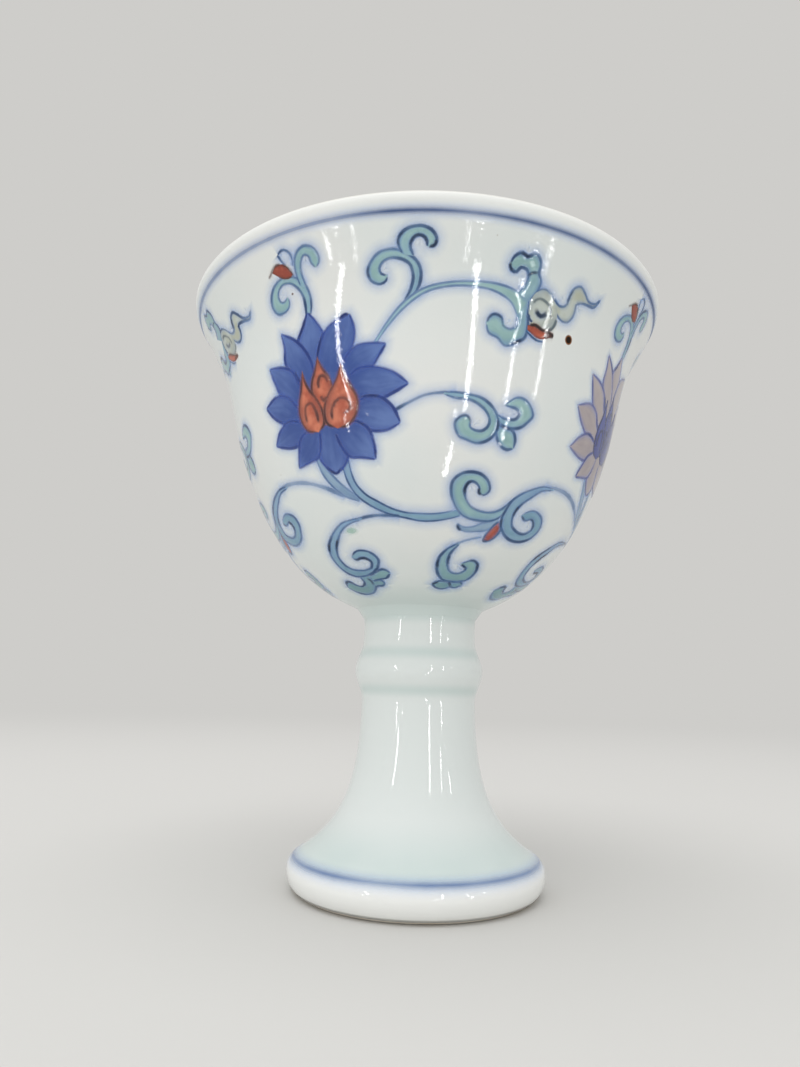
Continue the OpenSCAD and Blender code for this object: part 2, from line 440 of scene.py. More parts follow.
def spot_finish(name, middle, edge, solid, strength):
    """A round spot with an edge of another colour; it is solid out to a share of its radius, then fades."""
    spot = Finish(name, IOR=1.2, Roughness=0.25)
    from_middle = (spot.aside() ** 2 + (spot.along() * 2 - 1) ** 2) ** 0.5
    colour = spot.mix(spot.ease(from_middle, 0.5, 0.8), middle, edge)
    return spot.set(Base_Color=colour, Alpha=(1 - spot.ease(from_middle, solid, 1.0)) * strength)


# The cup's skin, read from the CAD parts of model.glb
def coat_points(nodes, faces_out):
    """Radius and height of a turned coat's corners, on the faces that faces_out() picks."""
    found = {}
    for node in nodes:
        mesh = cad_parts[node].data
        for face in mesh.polygons:
            radial = Vector((face.center.x, face.center.y, 0))
            if radial.length < 1e-9 or not faces_out(face.normal.dot(radial.normalized()), face.normal.z):
                continue
            for index in face.vertices:
                x, y, z = mesh.vertices[index].co
                found[(round(math.hypot(x, y), 5), round(z, 5))] = Vector((math.hypot(x, y), z))
    return sorted(found.values(), key=lambda point: point.y)


def smooth(points, count):
    """Places spread evenly, count + 1 of them, along a smooth curve through the points."""
    spots = [Vector(point) for point in points]
    gaps = [(ahead - spot).length for spot, ahead in zip(spots, spots[1:])]
    slopes = [(ahead - spot) / gap for spot, ahead, gap in zip(spots, spots[1:], gaps)]
    turns = [slopes[0]]
    for index in range(1, len(slopes)):
        before, after = gaps[index - 1], gaps[index]
        turns.append((slopes[index - 1] * after + slopes[index] * before) / (before + after))
    turns.append(slopes[-1])
    starts = [sum(gaps[:index]) for index in range(len(gaps))]
    total = sum(gaps)
    curve = []
    for step in range(count + 1):
        reach = total * step / count
        index = bisect.bisect_right(starts, reach) - 1
        gap = gaps[index]
        t = (reach - starts[index]) / gap
        curve.append(
            spots[index] * (1 + t * t * (2 * t - 3))
            + turns[index] * gap * t * (1 - t) ** 2
            + spots[index + 1] * t * t * (3 - 2 * t)
            + turns[index + 1] * gap * t * t * (t - 1)
        )
    return curve


def length_of(points):
    return sum((Vector(ahead) - Vector(spot)).length for spot, ahead in zip(points, points[1:]))


def respaced(points, step):
    return smooth(points, round(length_of(points) / step))


def thinned(points, least):
    """The points without those that lie closer than least to the one before."""
    kept = [points[0]]
    for point in points[1:]:
        if (point - kept[-1]).length > least:
            kept.append(point)
    return kept


def outside_coat(sign):
    """The outside of the cup's coat from the foot up, at its face (1) or where it meets the clay (-1)."""
    coats = ("outer_glaze", "rim_line", "foot_line")
    return thinned(coat_points(coats, lambda radial, up: radial * sign > FACING), LEAST_GAP)


def inside_coat(sign):
    """The bowl's lining from the lip to its middle, at its face (1) or where it meets the clay (-1)."""
    points = coat_points(("bowl_lining_glaze",), lambda radial, up: up * sign > FACING)[::-1]
    middle = next(index for index, point in enumerate(points) if point.x < LEAST_GAP)
    return thinned(points[: middle + 1], LEAST_GAP)


outside = respaced(outside_coat(1), SKIN_STEP)
inside = respaced(inside_coat(1), SKIN_STEP)
clay_face = respaced(outside_coat(-1), CLAY_STEP) + respaced(inside_coat(-1), CLAY_STEP)


class Chart:
    """Finds places on the outside of the cup from degrees round it and millimetres down from the lip."""

    def __init__(self, outline):
        self.outline = outline
        self.downs = [0]
        for above, below in zip(outline, outline[1:]):
            self.downs.append(self.downs[-1] + (below - above).length / MM)

    def station(self, down):
        """The outline's point and its outward direction, as radius and height."""
        index = max(0, min(bisect.bisect_right(self.downs, down), len(self.downs) - 1) - 1)
        above, below = self.outline[index], self.outline[index + 1]
        share = (down - self.downs[index]) / (self.downs[index + 1] - self.downs[index])
        fall = (below - above).normalized()
        return above.lerp(below, share), Vector((-fall.y, fall.x))

    def degree(self, down):
        """Length of one degree round the cup, in millimetres."""
        return math.radians(self.station(down)[0].x) / MM

    def place(self, degrees, down, lift):
        point, out = self.station(down)
        radius, height = point + out * lift
        turn = math.radians(degrees)
        return Vector((radius * math.sin(turn), -radius * math.cos(turn), height))

    def down_at(self, height):
        """Millimetres down from the lip at a height above the table."""
        index = next(i for i, point in enumerate(self.outline) if point.y <= height)
        above, below = self.outline[index - 1].y, self.outline[index].y
        share = (above - height) / (above - below)
        return self.downs[index - 1] * (1 - share) + self.downs[index] * share


chart = Chart(outside[::-1])


# Pieces
def make_piece(name, mesh, material, slot):
    """An object of the cup from a finished bmesh."""
    data = bpy.data.meshes.new(name)
    mesh.to_mesh(data)
    mesh.free()
    data.materials.append(material)
    piece = bpy.data.objects.new(name, data)
    bpy.context.scene.collection.objects.link(piece)
    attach(piece, "root")
    return piece


def turned(outline):
    """A bmesh turned about the cup's axis from an outline of radius and height."""
    mesh = bmesh.new()
    corners = [mesh.verts.new((max(point.x, 0), 0, point.y)) for point in outline]
    edges = [mesh.edges.new(pair) for pair in zip(corners, corners[1:])]
    bmesh.ops.spin(
        mesh,
        geom=corners + edges,
        axis=(0, 0, 1),
        cent=(0, 0, 0),
        angle=math.tau,
        steps=TURN_STEPS,
        use_merge=True,
    )
    bmesh.ops.remove_doubles(mesh, verts=mesh.verts, dist=POLE_WELD)
    bmesh.ops.recalc_face_normals(mesh, faces=mesh.faces)
    for face in mesh.faces:
        face.smooth = True
    return mesh


class Painting:
    """The paint on the cup: thin sheets laid on the glaze, gathered into one bmesh for each piece."""

    def __init__(self):
        self.pieces = {}
        self.repeat = REPEATS[0]
        self.tilt = 0

    def sheet(self, piece, along, across, place):
        """A grid in a piece, whose corner at step i along and share v across goes to place(i, v)."""
        if piece not in self.pieces:
            self.pieces[piece] = bmesh.new()
            self.pieces[piece].loops.layers.uv.new(BRUSH_MAP)
        made = bmesh.ops.create_grid(
            self.pieces[piece], x_segments=along, y_segments=across, size=1, calc_uvs=True
        )
        for corner in made["verts"]:
            corner.co = place(round((corner.co.x + 1) / 2 * along), (corner.co.y + 1) / 2)

    def laid(self, degrees, down):
        """A place of the scroll, moved to the repeat that is being painted."""
        start, slips_round, slips_down = self.repeat
        slip_round = numpy.interp(down, *zip(*slips_round))
        slip_down = numpy.interp(down, *zip(*slips_down))
        return degrees + start + slip_round, down + slip_down + self.tilt * (degrees - RIBBON_END)

    def path(self, points, count=None):
        """Close places along a smooth brush path, in degrees and millimetres."""
        flat = [(degrees * FLAT_DEGREE, down) for degrees, down in points]
        count = count or max(LINE_LEAST, round(length_of(flat) / BRUSH_STEP))
        return [self.laid(x / FLAT_DEGREE, down) for x, down in smooth(flat, count)]

    def beside(self, path, step, aside, layer):
        """The place at one step of a path, moved sideways from it by a few millimetres."""
        degrees, down = path[step]
        behind, ahead = path[max(step - 1, 0)], path[min(step + 1, len(path) - 1)]
        degree = chart.degree(down)
        before = Vector(((degrees - behind[0]) * degree, down - behind[1]))
        after = Vector(((ahead[0] - degrees) * degree, ahead[1] - down))
        run = (before + after).normalized()
        bend = 2 * before.cross(after) / (before + after).length ** 3
        if aside * bend > INNER_SHARE:
            aside = INNER_SHARE / bend
        lift = FIRST_LIFT + layer * LAYER_LIFT
        return chart.place(degrees - run.y * aside / degree, down + run.x * aside, lift)

    def line(self, piece, points, layer, width=LINE_W, bleeds=True):
        """A brush line through the points, thinner at its ends, which may bleed on both sides."""
        path = self.path(points)
        steps = len(path) - 1

        def place(step, across):
            press = 1 - END_THINNING * max(0, 1 - min(step, steps - step) / (steps * END_SHARE))
            return self.beside(path, step, (across - 0.5) * width * press, layer)

        self.sheet(piece, steps, 2 * math.ceil(width / LINE_W), place)
        if bleeds:
            self.bleed(piece, path, 1)
            self.bleed(piece, path, -1)

    def bleed(self, piece, path, side):
        """Cobalt that ran into the glaze beside a line: on the right of its run (1) or on the left (-1)."""
        if piece not in BLEED_W:
            return
        reach = side * BLEED_W[piece]

        def place(step, across):
            return self.beside(path, step, across * reach, BLEED_LAYER)

        self.sheet("cobalt_bleed", len(path) - 1, BLEED_STEPS, place)

    def fill(self, piece, first, second, layer):
        """A patch of paint between two edges that are drawn from its root to its tip."""
        reach = length_of([(degrees * FLAT_DEGREE, down) for degrees, down in first])
        count = max(PATCH_LEAST, round(reach / BRUSH_STEP / PATCH_STEP))
        left, right = self.path(first, count), self.path(second, count)
        lift = FIRST_LIFT + layer * LAYER_LIFT

        def place(step, share):
            degrees = left[step][0] * (1 - share) + right[step][0] * share
            down = left[step][1] * (1 - share) + right[step][1] * share
            return chart.place(degrees, down, lift)

        self.sheet(piece, count, PATCH_ACROSS, place)

    def outer_side(self, first, second):
        """The hand of the first edge that faces away from the second: 1 for the right of its run, or -1."""
        left, right = self.path(first, SIDE_STEPS), self.path(second, SIDE_STEPS)
        outward = 0
        for spot, ahead, other in zip(left, left[1:], right):
            outward += (Vector(ahead) - Vector(spot)).cross(Vector(spot) - Vector(other))
        return 1 if outward > 0 else -1

    def leaf(self, piece, first, second, layer, lines="scroll_lines", width=LINE_W):
        """A filled shape with a brush line along each edge, and their bleed outwards and round its tip."""
        self.fill(piece, first, second, layer)
        for edge in (first, second):
            self.line(lines, edge, layer + 0.5, width, bleeds=False)
        round_tip = self.path(first) + self.path(second)[-2::-1]
        self.bleed(lines, round_tip, self.outer_side(first, second))

    def vine(self, first, second, layer=0, piece="vine_washes"):
        """A stem of the scroll: a wash between two thin lines."""
        self.leaf(piece, first, second, layer, "vine_lines", VINE_LINE_W)

    def ring(self, piece, down, width):
        """A line right round the cup."""
        steps = TURN_STEPS * 2

        def place(step, across):
            lift = FIRST_LIFT + RING_LAYER * LAYER_LIFT
            return chart.place(360 * step / steps, down + (across - 0.5) * width, lift)

        self.sheet(piece, steps, RING_STEPS, place)

    def finish(self, piece, material, slot):
        """The gathered sheets of a piece as an object, with a thickness that sinks into the glaze.

        The paint lies in the glaze, so it casts no shadow or colour on it and isn't mirrored in it.
        """
        mesh = self.pieces.pop(piece)
        bmesh.ops.remove_doubles(mesh, verts=mesh.verts, dist=PAINT_WELD)
        mesh.normal_update()
        inward = [face for face in mesh.faces if face.normal.xy.dot(face.calc_center_median().xy) < 0]
        bmesh.ops.reverse_faces(mesh, faces=inward)
        for face in mesh.faces:
            face.smooth = True
        for edge in mesh.edges:
            edge.smooth = not edge.is_boundary
        made = make_piece(piece, mesh, material, slot)
        made.visible_shadow = False
        made.visible_diffuse = False
        made.visible_glossy = False
        sunk = made.modifiers.new("paint_depth", "SOLIDIFY")
        sunk.thickness = PAINT_DEPTH
        sunk.offset = -1
        return made


painting = Painting()

# The lotus's petals from the back to the front: each side's places from the heart out to the tip
PETALS = (
    ([(-29.5, 18.5), (-31.5, 16), (-32.2, 14.6), (-30, 13), (-28.4, 11.6)],
     [(-25.5, 18.5), (-25, 16), (-24.7, 14.3), (-26.2, 12.9), (-28.4, 11.6)]),
    ([(-28.5, 24), (-30, 26.5), (-30.6, 28.1), (-28.7, 29.2), (-26, 30)],
     [(-23.5, 24), (-21.8, 26.5), (-21.5, 28.5), (-23.3, 29.4), (-26, 30)]),
    ([(-31, 20), (-35.5, 17.8), (-37, 16.7), (-36.8, 14.6), (-37.3, 13)],
     [(-28.3, 19.5), (-28.7, 17.3), (-30.5, 15.6), (-33, 14.3), (-37.3, 13)]),
    ([(-26, 18.5), (-27, 17.2), (-26, 15.6), (-23.5, 13.8), (-17.5, 12.7)],
     [(-21, 19), (-19, 17.5), (-17.2, 16.2), (-16.5, 14.6), (-17.5, 12.7)]),
    ([(-33, 22), (-37.5, 21), (-40.2, 20), (-42, 18.2), (-43.3, 16.4)],
     [(-31, 20.5), (-33.3, 19.2), (-35, 17.7), (-38, 16.9), (-43.3, 16.4)]),
    ([(-18, 19.5), (-15, 19.2), (-12.8, 18.8), (-10.8, 17.6), (-9, 16.3)],
     [(-20, 18), (-18.5, 17), (-16, 16.2), (-12.5, 16.1), (-9, 16.3)]),
    ([(-33, 24), (-38, 24), (-41.3, 23.2), (-45, 22), (-47.3, 20.7)],
     [(-33.5, 22.3), (-35.2, 21.7), (-37.3, 20.5), (-41, 19.9), (-47.3, 20.7)]),
    ([(-17.5, 22), (-14, 22.2), (-10.6, 22.2), (-7.3, 21.6), (-3.6, 20.7)],
     [(-18.5, 19.5), (-16.5, 18.8), (-12.5, 18.7), (-8.2, 19.2), (-3.6, 20.7)]),
    ([(-32, 25), (-36, 26), (-39.5, 26.2), (-43, 25.9), (-46.5, 25.4)],
     [(-33, 23.8), (-36, 23.3), (-39, 23.1), (-42.5, 23.7), (-46.5, 25.4)]),
    ([(-19, 24.5), (-16, 25.2), (-12.5, 25.7), (-9, 25.6), (-5.8, 24.9)],
     [(-17.5, 22.5), (-15, 22), (-11, 22), (-8, 23), (-5.8, 24.9)]),
    ([(-31, 24.5), (-33.5, 24.8), (-35.7, 25.4), (-37.4, 26.8), (-39.1, 28.7)],
     [(-28.8, 25), (-29.2, 26.5), (-30.8, 27.9), (-34, 28.3), (-39.1, 28.7)]),
    ([(-24, 25.5), (-22.8, 27), (-20.5, 28.3), (-17, 28.5), (-13.1, 28.8)],
     [(-20.5, 24.4), (-18, 24.4), (-15, 25.1), (-13.2, 26.8), (-13.1, 28.8)]),
)

# The three flames of the lotus's heart, from root to tip, and the whorls drawn in them
FLAMES = (
    ([(-26.5, 24.5), (-28.3, 22.3), (-29.5, 20.6), (-29, 19.3), (-28, 18.4), (-27.3, 17.6), (-26.9, 16.7)],
     [(-26.5, 24.5), (-24.6, 22.3), (-23.3, 20.6), (-24, 19.3), (-25.4, 18.4), (-26.3, 17.6),
      (-26.9, 16.7)]),
    ([(-29.2, 25.1), (-32.5, 24.7), (-34.4, 23), (-34, 21.5), (-32.9, 20.2), (-32.3, 19.2), (-31.8, 17.9)],
     [(-29.2, 25.1), (-27.1, 24.3), (-27, 22.8), (-28.5, 21.3), (-30.3, 20.2), (-31.3, 19.2),
      (-31.8, 17.9)]),
    ([(-23.2, 25), (-26, 24.3), (-26.3, 22.7), (-24.8, 21.2), (-22.9, 20.2), (-21.5, 19.2), (-20.6, 17.9)],
     [(-23.2, 25), (-19.8, 24.7), (-17.3, 23.5), (-16.8, 22), (-18.2, 20.6), (-19.7, 19.3), (-20.6, 17.9)]),
)
WHORLS = (
    [(-32.2, 24), (-32.5, 22.8), (-31.8, 21.9), (-30.4, 21.7), (-29.1, 22.6), (-28.6, 24.2)],
    [(-24.3, 24.2), (-24.2, 23), (-23, 22.1), (-21.2, 21.7), (-19.5, 22), (-18.9, 22.8), (-20, 23.3),
     (-21.5, 23.4)],
    [(-23.7, 22.6), (-22.8, 22), (-21.6, 21.8)],
    [(-27.2, 20.4), (-27.2, 19.5), (-26.2, 18.9), (-25, 19.2), (-24.5, 19.9)],
    [(-27, 21.1), (-26.2, 21.7), (-25.2, 21.3)],
)

# Short strokes where the cobalt heaped along the petals
HEAPED_PETALS = (
    [(-24.7, 14.2), (-25.7, 15.2), (-26.6, 16.4), (-27, 17.4)],
    [(-13.8, 26), (-13.1, 27.4), (-13.1, 28.7)],
    [(-20.3, 13.1), (-18.3, 12.7), (-17.4, 12.8)],
    [(-9, 16.3), (-10.4, 17.3), (-12, 18.5)],
    [(-17, 22), (-14, 21.8), (-10.5, 22)],
    [(-19.5, 24.3), (-17.2, 24.5), (-15.2, 25.1)],
    [(-34.5, 17.5), (-33.2, 18.7), (-31.9, 20)],
    [(-40.2, 23.2), (-37, 23.2), (-34.8, 23.6)],
    [(-32, 14.4), (-30.3, 13.2), (-28.7, 11.9)],
    [(-28.4, 29.3), (-26, 30), (-23.6, 29.3)],
)


def paint_lotus(petals, outlines, heart, whorls):
    """A lotus head seen from the side, its petals overlapping towards the front."""
    painting.fill(
        petals,
        [(-28, 17.5), (-33, 20), (-34, 23), (-31, 26), (-27, 28)],
        [(-25, 17.5), (-18, 17.8), (-15.5, 21), (-18, 25.5), (-25, 28)],
        layer=0.5,
    )
    for order, (left, right) in enumerate(PETALS):
        painting.leaf(petals, left, right, 1 + order, outlines, PETAL_LINE_W)
    front = 1 + len(PETALS)
    for stroke in HEAPED_PETALS:
        painting.line("petal_heaps", stroke, front, PETAL_HEAP_W)
    for order, (left, right) in enumerate(FLAMES):
        painting.leaf(heart, left, right, front + order, whorls, FLAME_LINE_W)
    for whorl in WHORLS:
        painting.line(whorls, whorl, front + len(FLAMES), WHORL_W)


def paint_top_spray():
    """The bud and two curled leaves that stand on the lotus."""
    painting.leaf(
        "scroll_leaves",
        [(-27.7, 12.2), (-27, 11), (-26.9, 9.9), (-27.7, 8.6), (-29.8, 7.6), (-33, 7.2), (-36, 7.7),
         (-38, 8.9), (-38.2, 10), (-37, 10.8), (-35, 10.9), (-33.3, 10.5), (-32.8, 9.8), (-33.2, 9.3)],
        [(-28.8, 12.2), (-28.6, 11), (-28.7, 9.9), (-29.6, 8.9), (-31.2, 8.1), (-33.5, 7.9), (-35, 8.3),
         (-35.7, 9), (-35.1, 9.7), (-34, 9.7), (-33.2, 9.3)],
        layer=0,
    )
    painting.leaf(
        "scroll_leaves",
        [(-28.9, 8.7), (-29.3, 7.2), (-29, 6), (-27.8, 5.1), (-26, 4.7), (-24, 5.1), (-23, 6), (-23.2, 6.8),
         (-24.2, 7.2)],
        [(-27.5, 8.9), (-27.9, 7.2), (-27.4, 6.2), (-26.2, 5.6), (-25.3, 5.9), (-25.1, 6.6), (-24.2, 7.2)],
        layer=2,
    )
    for sepal in (
        [(-32.8, 4.7), (-31.2, 4.4), (-29.9, 4.8), (-29.4, 5.6), (-29.8, 6.4)],
        [(-32.8, 4.7), (-32.3, 5.4), (-31.5, 6.1)],
    ):
        painting.line("scroll_lines", sepal, layer=2, width=1.1)
    painting.fill(
        "red_buds",
        [(-30.2, 7.2), (-31, 6.4), (-32.3, 5.8), (-34, 5.7), (-35.6, 6.3)],
        [(-30.2, 7.2), (-31, 7.5), (-32.6, 7.4), (-34.2, 6.9), (-35.6, 6.3)],
        layer=3,
    )
    for width, edge in (
        (1.1, [(-37.2, 6.7), (-36.3, 6.5), (-35.2, 6), (-34, 5.7), (-32.5, 5.8)]),
        (1.2, [(-32.4, 5.8), (-31.1, 6.3), (-30.4, 6.9), (-30.1, 7.5)]),
        (0.7, [(-30.6, 7.4), (-32.4, 7.4), (-34.2, 6.9)]),
    ):
        painting.line("iron_lines", edge, layer=4, width=width)


def paint_upper_vine():
    """The vine that rises from the lotus to the right, and the curled leaf that branches from it."""
    painting.leaf(
        "scroll_leaves",
        [(-3.6, 11.8), (-1.7, 10.6), (-1, 9.3), (-1.6, 8), (-3.5, 7.1), (-7, 6.5), (-9.5, 6.7),
         (-11.6, 7.6), (-12.5, 8.7), (-11.8, 9.6), (-10, 10), (-8.6, 9.7), (-8.2, 9.1)],
        [(-4.8, 12), (-3.2, 10.6), (-2.7, 9.2), (-3.6, 8), (-5.5, 7.5), (-7.5, 7.4), (-9.2, 7.8),
         (-9.9, 8.5), (-9.4, 9), (-8.2, 9.1)],
        layer=-0.8,
    )
    painting.leaf(
        "scroll_leaves",
        [(-4.8, 7.1), (-5.7, 5.9), (-5, 5), (-3, 4.4), (-1, 4.3), (1, 4.7), (2.1, 5.6), (1.6, 6.3),
         (0.2, 6.4)],
        [(-2.6, 7.3), (-3.2, 6.2), (-2.3, 5.4), (-1, 5.2), (-0.1, 5.6), (0.2, 6.4)],
        layer=2,
    )
    painting.vine(
        [(-12.6, 16.5), (-9, 14.2), (-5.1, 12.1), (-0.5, 10.6), (4.7, 9.9), (10, 9.6), (15.2, 9.5),
         (20.5, 9.9), (23.9, 10.6)],
        [(-12, 16.6), (-8.4, 14.4), (-4.5, 12.5), (0, 11), (5, 10.3), (10.5, 10.1), (15.2, 10.3),
         (19.3, 11.1), (22.3, 13.2)],
        piece="scroll_leaves",
    )


# Short strokes where the cobalt heaped on the cloud and fired almost black
HEAPED_CLOUD = (
    [(14.2, 14), (14.7, 13.1), (16, 12.7), (17.4, 12.9), (17.9, 13.6)],
    [(19.3, 6.1), (20.6, 6), (21.3, 6.2), (22.3, 5.9)],
    [(22.1, 8.3), (23.3, 7.7), (25, 7.5)],
    [(17.9, 7), (18, 7.6), (19, 8)],
    [(23.7, 14.8), (22, 15.3), (20.4, 15.7)],
    [(33.8, 9.8), (34.2, 8.9), (35, 7.9)],
)


def paint_cloud():
    """The cloud at the end of the upper vine, with its coil, ribbon and red tongue."""
    painting.leaf(
        "scroll_leaves",
        [(23.8, 10.4), (24, 11.6), (24.5, 13.2), (24, 14.7), (21.9, 15.4), (19.1, 15.9), (17.2, 15.2),
         (15, 14.8), (14.1, 13.7)],
        [(21.4, 12.5), (21.7, 13.2), (20.4, 14), (18.3, 13.8), (17.7, 12.9), (15.7, 12.7), (14.1, 13.7)],
        layer=4,
    )
    painting.leaf(
        "scroll_leaves",
        [(23.9, 10.6), (25.6, 9.3), (25.8, 8.3), (24.9, 7.6), (24.8, 6.5), (23.2, 5.7), (21.2, 6.2),
         (20.1, 5.9), (18.6, 6.4), (17.8, 7.3)],
        [(20.5, 10), (21.9, 9.3), (22.5, 8.2), (21.8, 7.5), (20.5, 7.4), (19.4, 8), (18.4, 7.9),
         (17.8, 7.3)],
        layer=5,
    )
    painting.leaf(
        "yellow_ribbons",
        [(30.2, 9.6), (32.1, 10.2), (33.7, 10), (34.3, 9.3), (34.3, 8.6), (35, 7.8), (36.5, 7.4),
         (38.2, 7.8), (40.4, 8.5), (42.4, 8.4), (43.9, 7.6)],
        [(31.5, 11), (32.4, 11.4), (33.8, 11.7), (35.4, 11.6), (36.6, 10.9), (36.9, 10), (36.8, 9.4),
         (37.8, 9.1), (40, 8.9), (42.4, 8.8), (43.9, 7.6)],
        layer=5,
    )
    painting.fill(
        "yellow_ribbons",
        [(24.8, 12.9), (24.1, 11.3), (24.9, 9.8), (27.2, 8.9), (29.8, 9.4), (31.5, 10.5)],
        [(24.8, 12.9), (27, 13.3), (29.4, 13.2), (31.4, 12.5), (32.1, 11.5), (31.5, 10.5)],
        layer=6,
    )
    painting.fill(
        "red_buds",
        [(24.5, 13.2), (26.2, 13), (28.2, 13.2), (30, 13.4), (32, 13.6)],
        [(24.5, 13.7), (26, 14.1), (27.8, 14.4), (29.8, 14.2), (32, 13.6)],
        layer=7,
    )
    for piece, layer, width, stroke in (
        ("scroll_lines", 6.5, 1,
         [(25.2, 9.5), (26.3, 9.1), (27.6, 9), (29.2, 9.3), (30.5, 9.8), (31.6, 10.2)]),
        ("scroll_lines", 6.5, 1,
         [(24.3, 12), (24.7, 12.5), (25.5, 12.8)]),
        ("scroll_lines", 7.5, 1,
         [(24.4, 13.9), (25.8, 14.3), (27.4, 14.6), (29.4, 14.6)]),
        ("olive_lines", 6.5, LINE_W,
         [(24.9, 11), (25.4, 10.4), (26.5, 10.1), (28, 10.2), (29.4, 10.6), (30.1, 11.3), (30, 12)]),
        ("olive_lines", 6.5, LINE_W,
         [(32.1, 11.6), (31.8, 12.4), (30.9, 13), (29.6, 13.3)]),
        ("heaped_lines", 7, 1.7,
         [(25.9, 11), (26.4, 11.6), (27.4, 11.9), (28.5, 11.7), (29.2, 11)]),
        ("iron_lines", 7.5, 1.2,
         [(24.6, 13.2), (26.4, 13), (28.4, 13.3), (30.2, 13.4), (32.1, 13.6)]),
        ("iron_lines", 7.5, 1.8,
         [(29.2, 14), (30.8, 13.7), (32.2, 13.6)]),
    ):
        painting.line(piece, stroke, layer, width)
    for stroke in HEAPED_CLOUD:
        painting.line("heaped_lines", stroke, HEAP_LAYER, HEAP_W)


def paint_middle_tendril():
    """The tendril from the lotus's side, with its curl and two lobes."""
    painting.line(
        "scroll_lines",
        [(-8.5, 23.8), (-4, 22.8), (0.5, 21.9), (4.9, 21.6), (8.5, 21.5)],
        layer=0,
        width=1.4,
    )
    painting.leaf(
        "scroll_leaves",
        [(5, 21.6), (8.5, 21.5), (11.1, 21.6), (14.8, 21.9), (17.4, 22.6), (19.2, 23.5), (19.9, 24.4),
         (19.7, 25.2), (18.8, 25.9), (17, 26.5), (14.4, 26.8), (11.5, 26.5), (9.6, 26.2), (8.4, 25.4),
         (8.2, 24.6), (9.3, 24.1), (11.1, 23.9), (12.2, 24.4)],
        [(5, 21.8), (7.8, 22.1), (11.8, 22.2), (14.8, 22.8), (16.4, 23.4), (17.4, 24.3), (16.8, 25),
         (15.5, 25.4), (13.7, 25.4), (12.3, 25.1), (12.2, 24.4)],
        layer=3,
    )
    painting.leaf(
        "scroll_leaves",
        [(19.7, 24.6), (22.5, 24.7), (24.5, 25), (25.6, 25.9), (25.5, 26.9)],
        [(19.7, 25.3), (20.3, 26.2), (21.6, 26.8), (23.6, 27.1), (25.5, 26.9)],
        layer=1,
    )
    painting.leaf(
        "scroll_leaves",
        [(19.9, 24.3), (22, 24.6), (24.3, 24.7), (26.6, 24.4), (28.4, 23.7), (29.6, 22.9), (28.8, 22.1),
         (26.9, 21.4), (24.7, 21.2), (22.5, 21.7), (21, 22.3)],
        [(19.2, 23.4), (20.7, 23.7), (22.9, 23.8), (24.7, 23.6), (25.5, 23), (24.4, 22.5), (22.8, 22.4),
         (21, 22.3)],
        layer=2,
    )


def paint_lower_vine():
    """The two stems under the lotus and the vine that they run into."""
    painting.vine(
        [(-32, 27), (-31.7, 28.4), (-30.6, 30), (-27.9, 31.6), (-24.8, 32.7), (-19.9, 33.5)],
        [(-30.3, 27), (-29.9, 28.4), (-27.7, 30), (-24.3, 31.6), (-19.9, 33)],
    )
    painting.leaf(
        "blue_leaves",
        [(-21.4, 27.8), (-21.2, 29.6), (-20.3, 31.3), (-17.6, 32.7), (-14, 33.6), (-9.6, 34.5), (-5.1, 35),
         (-0.7, 35.1), (3.6, 35.1), (7.5, 34.9), (11.3, 34.5)],
        [(-23.6, 27.8), (-23.4, 29.6), (-22.5, 31.4), (-20.7, 32.7), (-17.6, 33.8), (-13.6, 34.7),
         (-9.6, 35.3), (-4.7, 35.7), (-0.7, 36), (3.6, 36), (8.4, 35.7), (13.2, 35.2)],
        layer=0.5,
        width=VINE_LINE_W,
    )


def paint_joining_vine(number):
    """The vine from the last leaf of one repeat to the stems under the next repeat's lotus."""
    painting.repeat = REPEATS[number]
    first, first_down = painting.laid(40, 30.5)
    painting.repeat = REPEATS[(number + 1) % len(REPEATS)]
    last, last_down = painting.laid(-24.3, 32.9)
    span = (last - first) % 360
    painting.repeat = (first, [(0, 0)], [(0, 0)])
    painting.line(
        "vine_lines",
        [(0, first_down), (span * 0.17, 30.2), (span * 0.3, 30.2), (span * 0.46, 30.4), (span * 0.62, 30.9),
         (span * 0.78, 31.6), (span, last_down)],
        layer=0,
        width=2,
    )


